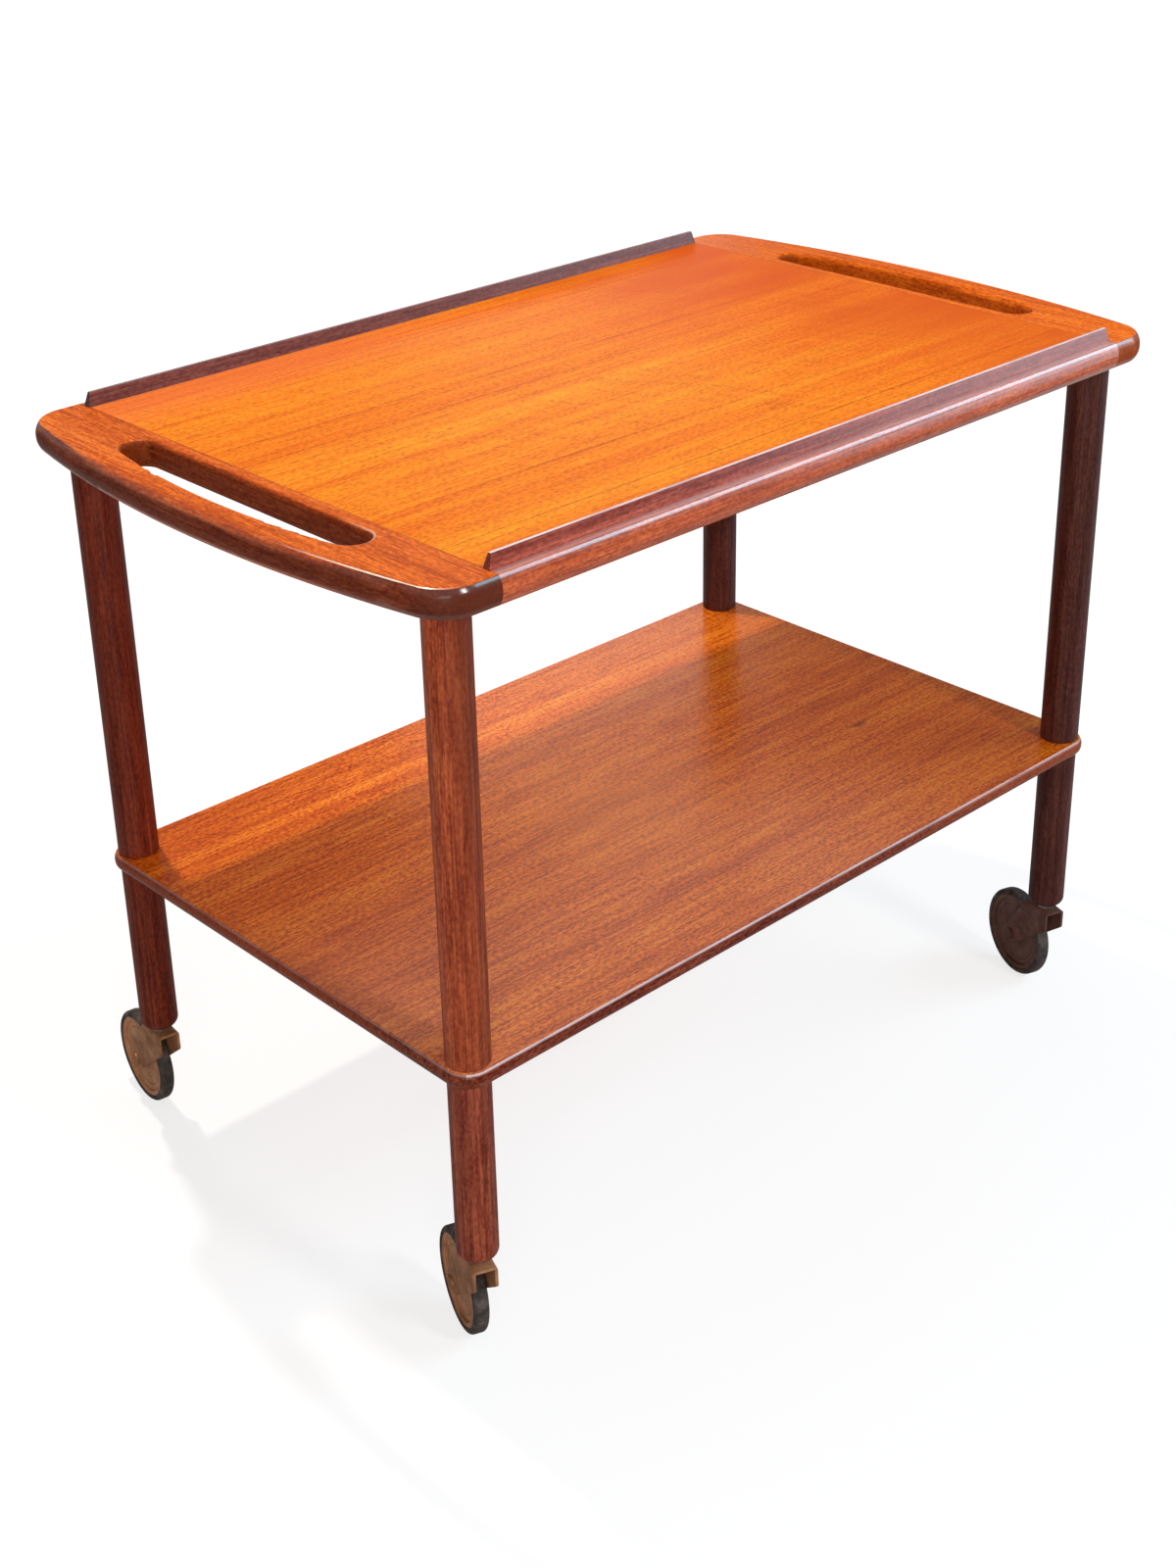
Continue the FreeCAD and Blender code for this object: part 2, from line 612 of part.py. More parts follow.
def thrust_washer(label, side_x, side_y, turn):
    bore = "(stem_diameter / 2 + running_gap)"
    body = turned_piece(label, (
        (bore, FORK_TOP),
        ("washer_diameter / 2", FORK_TOP),
        ("washer_diameter / 2", WASHER_TOP),
        (bore, WASHER_TOP),
    ))
    place(body, f"{side_x} * {LEG_X}", f"{side_y} * {LEG_Y}", turn=turn)


def tangent_point(across, up, side):
    """Where a line from a point outside the cheek's boss touches it, on the side given as 1 or -1."""
    run, rise = f"({across} - wheel_trail)", f"({up} - wheel_diameter / 2)"
    square = f"({run} ^ 2 + {rise} ^ 2)"
    near = f"(fork_boss_radius ^ 2 / {square})"
    aside = f"({side} * fork_boss_radius * sqrt({square} - fork_boss_radius ^ 2) / {square})"
    touch_x = f"(wheel_trail + {near} * {run} - {aside} * {rise})"
    touch_up = f"(wheel_diameter / 2 + {near} * {rise} + {aside} * {run})"
    return touch_x, touch_up


def caster_fork(label, side_x, side_y, turn):
    """A bent strip: a plate over the wheel and two cheeks that reach back to the axle."""
    body = new_body(label)
    drop = f"({FORK_TOP} - fork_front_drop)"
    front_x, front_up = tangent_point("(-fork_front_reach)", drop, "1")
    rear_x, rear_up = tangent_point("fork_rear_reach", FORK_TOP, "-1")
    sketch = new_sketch(body, "XZ_Plane", f"-{FORK_WIDTH} / 2")
    outline(sketch, (
        ("-fork_front_reach", FORK_TOP),
        ("-fork_front_reach", drop),
        (front_x, front_up, "fork_boss_radius"),
        (rear_x, rear_up),
        ("fork_rear_reach", FORK_TOP),
    ))
    pad(body, sketch, FORK_WIDTH)
    front, corner_up, top = value("-fork_front_reach"), value(drop), value(FORK_TOP)

    def front_corner(edge):
        box = edge.BoundBox
        return box.XMax < front + TINY and abs(box.ZMin - corner_up) < TINY and level(edge)

    fillet(body, "fork_corner_round", front_corner)
    half_width = value(f"{FORK_WIDTH} / 2")

    def bend(edge):
        box = edge.BoundBox
        along = box.YLength < TINY and abs(abs(box.YMin) - half_width) < TINY
        return along and box.ZMin > top - TINY

    fillet(body, "fork_bend_round", bend)
    sketch = new_sketch(body, "YZ_Plane", "-fork_front_reach - overrun")
    rectangle(sketch, (f"-{FORK_GAP} / 2", "0"), (f"{FORK_GAP} / 2", f"{FORK_TOP} - fork_sheet"))
    pocket(body, sketch, "fork_front_reach + wheel_trail + fork_boss_radius + 2 * overrun")
    sketch = new_sketch(body, "XY_Plane", FORK_TOP)
    circle(sketch, "0", "0", "stem_diameter / 2 + running_gap")
    pocket(body, sketch, "fork_sheet + overrun", along_normal=False)
    sketch = new_sketch(body, "XZ_Plane", f"-{FORK_WIDTH} / 2 - overrun")
    circle(sketch, "wheel_trail", "wheel_diameter / 2", "axle_diameter / 2 + running_gap")
    pocket(body, sketch, f"{FORK_WIDTH} + 2 * overrun")
    place(body, f"{side_x} * {LEG_X}", f"{side_y} * {LEG_Y}", turn=turn)


def place_on_axle(body, side_x, side_y, turn):
    across = f"{side_x} * {LEG_X} + wheel_trail * cos({turn})"
    back = f"{side_y} * {LEG_Y} + wheel_trail * sin({turn})"
    place(body, across, back, "wheel_diameter / 2", turn)


def wheel_axle(label, side_x, side_y, turn):
    radius, head = "(axle_diameter / 2)", "(axle_head_diameter / 2)"
    half = f"({FORK_WIDTH} / 2)"
    outer = f"({half} + axle_head_thickness)"
    body = turned_piece(label, (
        (f"-{outer}", "0"),
        (outer, "0"),
        (outer, head),
        (half, head),
        (half, radius),
        (f"-{half}", radius),
        (f"-{half}", head),
        (f"-{outer}", head),
    ), "H_Axis", "YZ_Plane")
    place_on_axle(body, side_x, side_y, turn)


def wheel_disc(label, side_x, side_y, turn):
    bore = "(axle_diameter / 2 + running_gap)"
    seat = "(wheel_diameter / 2 - tyre_thickness)"
    hub, web, rim = "(hub_width / 2)", "(web_thickness / 2)", "(rim_width / 2)"
    body = turned_piece(label, (
        (f"-{hub}", bore),
        (hub, bore),
        (hub, "hub_diameter / 2"),
        (web, "hub_diameter / 2"),
        (web, f"{seat} - rim_depth"),
        (rim, f"{seat} - rim_depth"),
        (rim, seat),
        (f"-{rim}", seat),
        (f"-{rim}", f"{seat} - rim_depth"),
        (f"-{web}", f"{seat} - rim_depth"),
        (f"-{web}", "hub_diameter / 2"),
        (f"-{hub}", "hub_diameter / 2"),
    ), "H_Axis", "YZ_Plane")
    place_on_axle(body, side_x, side_y, turn)


def wheel_tyre(label, side_x, side_y, turn):
    tread = "(wheel_diameter / 2)"
    seat = f"({tread} - tyre_thickness)"
    half = "(tyre_width / 2)"
    body = turned_piece(label, (
        (f"-{half}", seat),
        (half, seat),
        (half, f"{tread} - tyre_round", "tyre_round"),
        (f"{half} - tyre_round", tread),
        (f"-({half} - tyre_round)", tread, "tyre_round"),
        (f"-{half}", f"{tread} - tyre_round"),
    ), "H_Axis", "YZ_Plane")
    place_on_axle(body, side_x, side_y, turn)


tray_panel()
for side_name, side, end_turn in (("left", "-1", HALF_TURN), ("right", "1", 0)):
    handle_end(f"handle_end_{side_name}", str(end_turn))
    end_tongue(f"end_tongue_{side_name}", side)
for side_name, side_turn in (("front", 0), ("back", HALF_TURN)):
    tray_lipping(f"tray_lipping_{side_name}", str(side_turn))
    gallery_strip(f"gallery_strip_{side_name}", str(side_turn))
    shelf_lipping(f"shelf_lipping_{side_name}", SHELF_X, SHELF_Y, str(side_turn))
for side_name, side_turn in (("right", HALF_TURN / 2), ("left", -HALF_TURN / 2)):
    shelf_lipping(f"shelf_lipping_{side_name}", SHELF_Y, SHELF_X, str(side_turn))
shelf_panel()
leg_studs()
for corner, side_x, side_y in CORNERS:
    upper_leg(f"upper_leg_{corner}", side_x, side_y)
    lower_leg(f"lower_leg_{corner}", side_x, side_y)
    caster_socket(f"caster_socket_{corner}", side_x, side_y)
    for make_piece in (swivel_stem, thrust_washer, caster_fork, wheel_axle, wheel_disc, wheel_tyre):
        make_piece(f"{make_piece.__name__}_{corner}", side_x, side_y, f"{corner}_trail_angle")
document.recompute()

# Every piece has to be sound before any is written
for item in document.Objects:
    if {"Invalid", "Error"} & set(item.State):
        raise RuntimeError(f"{item.Label} did not build")
for node in nodes:
    if node.Shape.isNull() or not node.Shape.isValid():
        raise RuntimeError(f"{node.Label} has no sound shape")
os.makedirs("parts", exist_ok=True)
for node in nodes:
    node.Shape.exportStep(f"parts/{node.Label}.step")
    print(node.Label, len(node.Shape.Solids), round(node.Shape.Volume))
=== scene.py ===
import bpy
import functools
import json
import math
from mathutils import Matrix, Vector


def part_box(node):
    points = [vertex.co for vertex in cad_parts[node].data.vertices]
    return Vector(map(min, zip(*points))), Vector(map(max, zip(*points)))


# A teak serving trolley on a pale floor. Lengths are in metres, colours in linear light.
# A step is a pair of values between which something changes smoothly, and a share runs from 0 to 1.
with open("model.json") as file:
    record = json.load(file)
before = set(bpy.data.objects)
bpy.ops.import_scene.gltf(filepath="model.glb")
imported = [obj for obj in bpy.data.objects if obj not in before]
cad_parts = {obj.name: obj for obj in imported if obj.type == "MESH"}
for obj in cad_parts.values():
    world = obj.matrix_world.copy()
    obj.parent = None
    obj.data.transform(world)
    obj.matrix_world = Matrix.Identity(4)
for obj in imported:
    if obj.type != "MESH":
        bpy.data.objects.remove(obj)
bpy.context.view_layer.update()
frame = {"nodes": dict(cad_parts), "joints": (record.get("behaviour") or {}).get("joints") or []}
nodes = frame["nodes"]

CORNERS = ("front_left", "front_right", "back_left", "back_right")


def halfway(first, second):
    return 0.5 * (first + second)


tray_low, tray_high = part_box("tray_panel")
shelf_low, shelf_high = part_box("shelf_panel")
leg_low, leg_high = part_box("upper_leg_front_left")
SEAM_X = tray_high.x
TRAY_MIDDLE = halfway(tray_low.z, tray_high.z)
SHELF_MIDDLE = halfway(shelf_low.z, shelf_high.z)
STRIP_MIDDLE = halfway(tray_high.z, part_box("gallery_strip_front")[1].z)
NEAR_LEG_PLACE = (halfway(leg_low.x, leg_high.x), halfway(leg_low.y, leg_high.y), 0.0)


# Node helpers

class Graph:
    """The nodes of one material or world. A socket is given a constant or another node's output."""

    def __init__(self, owner):
        self.owner = owner
        owner.use_nodes = True
        self.tree = owner.node_tree
        self.tree.nodes.clear()

    @functools.cached_property
    def coordinates(self):
        return self.add("ShaderNodeTexCoord").outputs

    @property
    def place(self):
        return self.coordinates["Object"]

    @functools.cached_property
    def xyz(self):
        """The place's three parts."""
        return self.split(self.place)

    @functools.cached_property
    def facing(self):
        """The three parts of the way that the surface faces."""
        return self.split(self.coordinates["Normal"])

    @functools.cached_property
    def level_share(self):
        """1 where the surface lies level, 0 where it stands upright."""
        return self.math("ABSOLUTE", self.facing[2])

    def add(self, kind, **settings):
        node = self.tree.nodes.new(kind)
        for name, setting in settings.items():
            setattr(node, name, setting)
        return node

    def put(self, socket, value):
        if isinstance(value, bpy.types.NodeSocket):
            self.tree.links.new(value, socket)
        else:
            socket.default_value = value

    def math(self, operation, first, second=0.0):
        node = self.add("ShaderNodeMath", operation=operation)
        self.put(node.inputs[0], first)
        self.put(node.inputs[1], second)
        return node.outputs[0]

    def total(self, *values):
        return functools.reduce(lambda first, second: self.math("ADD", first, second), values)

    def times(self, *values):
        return functools.reduce(lambda first, second: self.math("MULTIPLY", first, second), values)

    def vector(self, operation, first, second=(0.0, 0.0, 0.0)):
        node = self.add("ShaderNodeVectorMath", operation=operation)
        self.put(node.inputs[0], first)
        self.put(node.inputs[1], second)
        return node.outputs["Value" if operation in ("DISTANCE", "LENGTH") else "Vector"]

    def split(self, vector):
        node = self.add("ShaderNodeSeparateXYZ")
        self.put(node.inputs[0], vector)
        return node.outputs

    def join(self, x, y, z):
        node = self.add("ShaderNodeCombineXYZ")
        for socket, value in zip(node.inputs, (x, y, z)):
            self.put(socket, value)
        return node.outputs[0]

    def noise(self, vector, cells, detail=2.0, roughness=0.5):
        """Soft noise whose cells per metre are given along each axis."""
        node = self.add("ShaderNodeTexNoise")
        self.put(node.inputs["Vector"], self.vector("MULTIPLY", vector, cells))
        node.inputs["Scale"].default_value = 1.0
        node.inputs["Detail"].default_value = detail
        node.inputs["Roughness"].default_value = roughness
        return node.outputs[0]

    def chance(self, number):
        """A chance value from 0 to 1 that stays the same for one number."""
        node = self.add("ShaderNodeTexWhiteNoise", noise_dimensions="1D")
        self.put(node.inputs["W"], number)
        return node.outputs["Value"]

    def remap(self, value, step, to=(0.0, 1.0)):
        """Goes smoothly from one end of a pair to the other while the value crosses a step."""
        node = self.add("ShaderNodeMapRange", interpolation_type="SMOOTHSTEP")
        for socket, given in zip(node.inputs, (value, *step, *to)):
            self.put(socket, given)
        return node.outputs[0]

    def ramp(self, value, stops, tones):
        node = self.add("ShaderNodeValToRGB")
        elements = node.color_ramp.elements
        while len(elements) < len(stops):
            elements.new(1.0)
        for element, position, color in zip(elements, stops, tones):
            element.position = position
            element.color = (*color, 1.0)
        self.put(node.inputs[0], value)
        return node.outputs[0]

    def mix(self, share, first, second, blend="MIX"):
        node = self.add("ShaderNodeMix", data_type="RGBA", blend_type=blend, clamp_result=True)
        self.put(node.inputs["Factor"], share)
        for name, value in (("A", first), ("B", second)):
            socket = [entry for entry in node.inputs if entry.name == name and entry.type == "RGBA"][0]
            self.put(socket, (*value, 1.0) if isinstance(value, tuple) else value)
        return [entry for entry in node.outputs if entry.type == "RGBA"][0]

    def show(self, shader, kind="ShaderNodeOutputMaterial"):
        self.put(self.add(kind).inputs["Surface"], shader)

    def finish(self, color, roughness, height, depth, **settings):
        """The surface itself. Depth is the bump's height in metres."""
        surface = self.add("ShaderNodeBsdfPrincipled")
        self.put(surface.inputs["Base Color"], color)
        self.put(surface.inputs["Roughness"], roughness)
        for name, value in settings.items():
            self.put(surface.inputs[name.replace("_", " ")], value)
        bump = self.add("ShaderNodeBump")
        bump.inputs["Strength"].default_value = 1.0
        bump.inputs["Distance"].default_value = depth
        self.put(bump.inputs["Height"], height)
        self.put(surface.inputs["Normal"], bump.outputs[0])
        self.show(surface.outputs[0])
        return self.owner


def new_graph(name):
    return Graph(bpy.data.materials.new(name))


def dress(name, make, **look):
    """Gives a node a material of its own."""
    slots = nodes[name].data.materials
    slots.clear()
    slots.append(make(name, **look))


# Wood. Noise is given in cells per metre: along the grain, across it and into it.

AXIS_ORDER = {"X": (0, 1, 2), "Y": (1, 0, 2), "Z": (2, 0, 1)}
TONE_STOPS = (0.38, 0.50, 0.62)
MIDDLE_STEP = (0.3, 0.7)
SIDE_STEP = (0.97, 0.70)
# Pale colour for nicks, which are real wear, and for painted highlights and painted reflections
PALE_NICKS_AND_PAINTED_HIGHLIGHT = (0.80, 0.66, 0.68)


def run_of_grain(graph, axis, shift):
    """Places along, across and into the grain, which sways a little."""
    sway_cells = (1.6, 5.0, 5.0)
    sway_middle = 0.5
    sway_reach = 0.008
    moved = graph.split(graph.vector("ADD", graph.place, shift))
    along, across, into = (moved[number] for number in AXIS_ORDER[axis])
    wander = graph.noise(graph.join(along, across, into), sway_cells)
    sway = graph.times(graph.math("SUBTRACT", wander, sway_middle), sway_reach)
    return along, graph.total(across, sway), into


def growth_lines(graph, grain, across, rate, width):
    """Dark growth lines along the grain: narrow, long, uneven in spacing and in strength."""
    drift_cells = (0.5, 0.3 * rate, 0.3 * rate)
    drift_lines = 3.0
    line_middle = 0.5
    half_width_share = 0.5 * width * rate
    edge_step = (0.4 * half_width_share, 1.4 * half_width_share)
    strength_step = (0.2, 1.0)
    fade_cells = (1.6, 0.6 * rate, 0.6 * rate)
    fade_step = (0.34, 0.56)
    dash_cells = (170.0, 0.8 * rate, 0.8 * rate)
    dash_step = (0.36, 0.58)
    least_dash_share = 0.6
    drift = graph.noise(grain, drift_cells)
    count = graph.total(graph.times(across, rate), graph.times(drift, drift_lines))
    off_middle = graph.math("ABSOLUTE", graph.math("SUBTRACT", graph.math("FRACT", count), line_middle))
    line = graph.remap(off_middle, edge_step, (1.0, 0.0))
    strength = graph.remap(graph.chance(graph.math("FLOOR", count)), strength_step)
    fade = graph.remap(graph.noise(grain, fade_cells), fade_step)
    dashes = graph.remap(graph.noise(grain, dash_cells, detail=1.0), dash_step, (least_dash_share, 1.0))
    return graph.times(line, strength, fade, dashes)


def fine_grain(graph, color, along, across, into, figure, speckle, streaks):
    """Patches of shimmer across the grain, short flecks and long streaks, which change the red less."""
    shimmer_cells = (110.0, 16.0, 16.0)
    shimmer_slant = 0.5
    patch_cells = (5.0, 9.0, 9.0)
    patch_step = (0.42, 0.62)
    speckle_cells = (250.0, 540.0, 540.0)
    streak_cells = (20.0, 250.0, 250.0)
    red_share = 0.6
    grain = graph.join(along, across, into)
    slanted = graph.join(graph.total(along, graph.times(across, shimmer_slant)), across, into)
    shimmer = graph.remap(graph.noise(slanted, shimmer_cells), MIDDLE_STEP, (-figure, figure))
    patch = graph.remap(graph.noise(grain, patch_cells, detail=1.0), patch_step)
    flecks = graph.noise(grain, speckle_cells, detail=1.0)
    short_grain = graph.remap(flecks, MIDDLE_STEP, (-speckle, speckle))
    long_grain = graph.remap(graph.noise(grain, streak_cells), MIDDLE_STEP, (-streaks, streaks))
    shimmer_change = graph.times(shimmer, patch)
    grain_change = graph.total(short_grain, long_grain)
    brightness = graph.total(1.0, shimmer_change, grain_change)
    redness = graph.total(1.0, shimmer_change, graph.times(grain_change, red_share))
    return graph.mix(1.0, color, graph.join(redness, brightness, brightness), "MULTIPLY")


def wood(name, axis, tones, shift=(0.0, 0.0, 0.0), side_tones=None, side_area=None, bands=40.0,
         band_share=0.5, lines=60.0, line_width=0.0007, line_depth=0.5, pores=0.4, flecks=0.0, nicks=0.0,
         figure=0.04, speckle=0.30, streaks=0.16, leaf=0.0, leaf_depth=0.0, wear=0.0, wear_area=None,
         end_dark=0.6, roughness=0.4, shine=0.3, coat=0.0, coat_area=None, marks=None):
    """Wood with its grain along an axis. Bands and lines are counts per metre across the grain, line_width
    and leaf are the widths of a growth line and a veneer leaf, and the side tones show where the face turns
    away from the level. The other looks are shares of strength, and an area is a function that says where
    a look belongs."""
    band_cells = (1.1, bands, bands)
    thread_cells = (14.0, 620.0, 620.0)
    thread_step = (0.2, 0.8)
    thread_height_share = 0.5
    leaf_stagger = 3.7
    fleck_cells = (80.0, 430.0, 430.0)
    fleck_step = (0.54, 0.66)
    pore_cells = (55.0, 1000.0, 1000.0)
    pore_step = (0.60, 0.70)
    nick_cells = (240.0, 240.0, 420.0)
    nick_step = (0.78, 0.82)
    wear_cells = (16.0, 50.0, 50.0)
    wear_step = (0.30, 0.52)
    least_wear_share = 0.55
    end_step = (0.5, 0.95)
    deep_tone_share = 0.4
    roughness_range = (roughness - 0.04, roughness + 0.05)
    bump_depth = 0.00002
    lacquer_ior = 1.7
    lacquer_roughness = 0.16
    dark, _, light = tones
    deep_tone = tuple(deep_tone_share * channel for channel in dark)
    graph = new_graph(name)
    along, across, into = run_of_grain(graph, axis, shift)
    if leaf:
        leaf_number = graph.math("FLOOR", graph.math("DIVIDE", across, leaf))
        along = graph.total(along, graph.times(leaf_number, leaf_stagger))
    grain = graph.join(along, across, into)
    band = graph.noise(grain, band_cells, detail=3.0, roughness=0.6)
    thread = graph.noise(grain, thread_cells, detail=3.0, roughness=0.6)
    tone = graph.total(graph.times(band, band_share), graph.times(thread, 1.0 - band_share))
    color = graph.ramp(tone, TONE_STOPS, tones)
    if leaf:
        color = graph.mix(graph.times(graph.chance(leaf_number), leaf_depth), color, dark)
    if flecks:
        fleck = graph.remap(graph.noise(grain, fleck_cells), fleck_step)
        color = graph.mix(graph.times(fleck, flecks), color, light)
    if side_tones:
        turned = side_area(graph) if side_area else graph.remap(graph.level_share, SIDE_STEP)
        color = graph.mix(turned, color, graph.ramp(tone, TONE_STOPS, side_tones))
    line = growth_lines(graph, grain, across, lines, line_width)
    color = graph.mix(graph.times(line, line_depth), color, deep_tone)
    pore = graph.remap(graph.noise(grain, pore_cells, detail=1.0), pore_step)
    color = graph.mix(graph.times(pore, pores), color, deep_tone)
    color = fine_grain(graph, color, along, across, into, figure, speckle, streaks)
    cut_across = graph.math("ABSOLUTE", graph.facing[AXIS_ORDER[axis][0]])
    color = graph.mix(graph.remap(cut_across, end_step, (0.0, end_dark)), color, deep_tone)
    if nicks:
        chips = graph.noise(graph.place, nick_cells, detail=3.0, roughness=0.6)
        color = graph.mix(graph.times(graph.remap(chips, nick_step), nicks), color, PALE_NICKS_AND_PAINTED_HIGHLIGHT)
    # Painted highlight: a pale band where an edge, a strip's top or a lipping's level face would catch a
    # lamp
    if wear_area:
        patches = graph.noise(grain, wear_cells, detail=3.0)
        uneven = graph.remap(patches, wear_step, (least_wear_share, 1.0))
        color = graph.mix(graph.times(wear_area(graph), uneven, wear), color, PALE_NICKS_AND_PAINTED_HIGHLIGHT)
    if marks:
        color = marks(graph, color)
    lacquer = graph.times(coat_area(graph), coat) if coat_area else coat
    rough = graph.remap(thread, thread_step, roughness_range)
    height = graph.math("SUBTRACT", graph.times(thread, thread_height_share), pore)
    return graph.finish(color, rough, height, bump_depth, Specular_IOR_Level=shine, Coat_Weight=lacquer,
                        Coat_IOR=lacquer_ior, Coat_Roughness=lacquer_roughness)


# Areas of a piece, as shares from 0 outside to 1 inside

def past_slot(graph):
    """The end boards beyond the hand slot: the outer edge and the corners, without the slot's walls."""
    bar_step = (0.358, 0.362)
    slot_end_step = (0.134, 0.142)
    past_bar = graph.remap(graph.math("ABSOLUTE", graph.xyz[0]), bar_step)
    past_ends = graph.remap(graph.math("ABSOLUTE", graph.xyz[1]), slot_end_step)
    return graph.math("MAXIMUM", past_bar, past_ends)


def end_sides(graph):
    """The darker sides of an end board, which begin lower down on the grip. Slot walls are less dark."""
    grip_step = (0.20, 0.12)
    grip_level_share = 0.35
    wall_step = (0.345, 0.340)
    outer_wall_share = 0.35
    inner_wall_share = 0.75
    grip = graph.remap(graph.math("ABSOLUTE", graph.xyz[1]), grip_step, (0.0, grip_level_share))
    outside = graph.remap(graph.total(graph.level_share, grip), SIDE_STEP)
    endward = graph.math("ABSOLUTE", graph.xyz[0])
    wall_share = graph.remap(endward, wall_step, (outer_wall_share, inner_wall_share))
    slot_wall = graph.times(graph.remap(graph.level_share, SIDE_STEP), wall_share)
    beyond = past_slot(graph)
    inside = graph.times(slot_wall, graph.math("SUBTRACT", 1.0, beyond))
    return graph.total(graph.times(outside, beyond), inside)


def between(graph, face_step, side_step):
    """The part of an edge's round that lies between a level face and an upright side."""
    return graph.times(graph.remap(graph.level_share, face_step), graph.remap(graph.level_share, side_step))


def rounded_corner(graph):
    """The rounded upper and lower corners of an edge."""
    return between(graph, face_step=(0.998, 0.95), side_step=(0.28, 0.52))


def outer_corner(graph):
    """The rounded corners along an end board's outer edge, without those of its hand slot."""
    return graph.times(rounded_corner(graph), past_slot(graph))


def face_and_round(graph):
    """A lipping's level faces and the rounds beside them."""
    side_step = (0.25, 0.5)
    return graph.remap(graph.level_share, side_step)


# The tray lippings' painted reflection lies on their level faces
def level_face(graph):
    """The level faces alone."""
    face_step = (0.80, 0.95)
    return graph.remap(graph.level_share, face_step)


def above(graph, height, blend=0.001):
    """What lies above a height, over a short blend."""
    return graph.remap(graph.xyz[2], (height, height + blend))


# The shelf lippings' painted highlight lies along this band
def shelf_arris(graph):
    """The band along a shelf edge where it turns down from the upper face."""
    band = between(graph, face_step=(0.84, 0.74), side_step=(0.42, 0.58))
    return graph.times(band, above(graph, SHELF_MIDDLE))


# The strips' painted highlight lies on their tops
def strip_top(graph):
    """The level top of a gallery strip and its rounded corners."""
    side_step = (0.40, 0.70)
    return graph.times(graph.remap(graph.level_share, side_step), above(graph, STRIP_MIDDLE))


# Seams, changes of tone, marks of use and painted light, laid over the finished wood

def seam(graph, color):
    """Dark glue line where the tray's panel meets its end boards."""
    line_step = (0.0009, 0.0003)
    line_share = 0.35
    glue = (0.09, 0.022, 0.008)
    endward = graph.math("ABSOLUTE", graph.xyz[0])
    off_seam = graph.math("ABSOLUTE", graph.math("SUBTRACT", endward, SEAM_X))
    return graph.mix(graph.remap(off_seam, line_step, (0.0, line_share)), color, glue)


def handled_corner(graph, color):
    """The left end's seam, its near corner darkened by hands, and a painted cream highlight along the arris
    beside it.
    """
    dirt_step = (-0.190, -0.222)
    dirt_share = 0.6
    dirt_side_step = (0.95, 0.60)
    dirt = (0.060, 0.018, 0.014)
    highlight_start = (-0.08, -0.17)
    highlight_end = (-0.226, -0.208)
    highlight_blend = 0.004
    corner_highlight_share = 0.85
    painted_cream_highlight = (0.98, 0.84, 0.66)
    y = graph.xyz[1]
    nearward = graph.remap(y, dirt_step, (0.0, dirt_share))
    color = graph.mix(graph.times(nearward, graph.remap(graph.level_share, dirt_side_step)), color, dirt)
    # Painted highlight: a cream line along the upper arris towards the near corner
    highlight_stretch = graph.times(graph.remap(y, highlight_start), graph.remap(y, highlight_end))
    arris = between(graph, face_step=(0.99, 0.95), side_step=(0.74, 0.84))
    highlight_amount = graph.times(arris, highlight_stretch, above(graph, TRAY_MIDDLE, highlight_blend), corner_highlight_share)
    return seam(graph, graph.mix(highlight_amount, color, painted_cream_highlight))


def right_end_marks(graph, color):
    """The right end's seam. The board is a little deeper in colour towards its back."""
    back_step = (0.0, 0.22)
    back_share = 0.35
    deeper = (0.50, 0.080, 0.004)
    return seam(graph, graph.mix(graph.remap(graph.xyz[1], back_step, (0.0, back_share)), color, deeper))


def tray_marks(graph, color):
    """The panel's seams, its deeper far right corner, and a painted pink sheen along the back strip."""
    corner_slope = 0.4
    corner_step = (-0.04, 0.32)
    corner_share = 0.75
    deeper = (0.66, 0.086, 0.004)
    blotch_cells = (4.0, 14.0, 1.0)
    blotch_step = (0.35, 0.65)
    blotch_range = (0.6, 1.25)
    sheen_by_strip_step = (0.13, 0.20)
    sheen_by_strip_share = 0.6
    left_step = (0.10, -0.15)
    painted_pink_sheen = (0.78, 0.150, 0.050)
    x, y = graph.xyz[0], graph.xyz[1]
    cornerward = graph.total(x, graph.times(y, corner_slope))
    blotch = graph.remap(graph.noise(graph.place, blotch_cells), blotch_step, blotch_range)
    depth = graph.times(graph.remap(cornerward, corner_step, (0.0, corner_share)), blotch)
    color = graph.mix(depth, color, deeper)
    # Painted sheen: pinker along the back strip, strongest towards the left
    sheen_by_strip = graph.times(graph.remap(y, sheen_by_strip_step, (0.0, sheen_by_strip_share)), graph.remap(x, left_step))
    return seam(graph, graph.mix(sheen_by_strip, color, painted_pink_sheen))


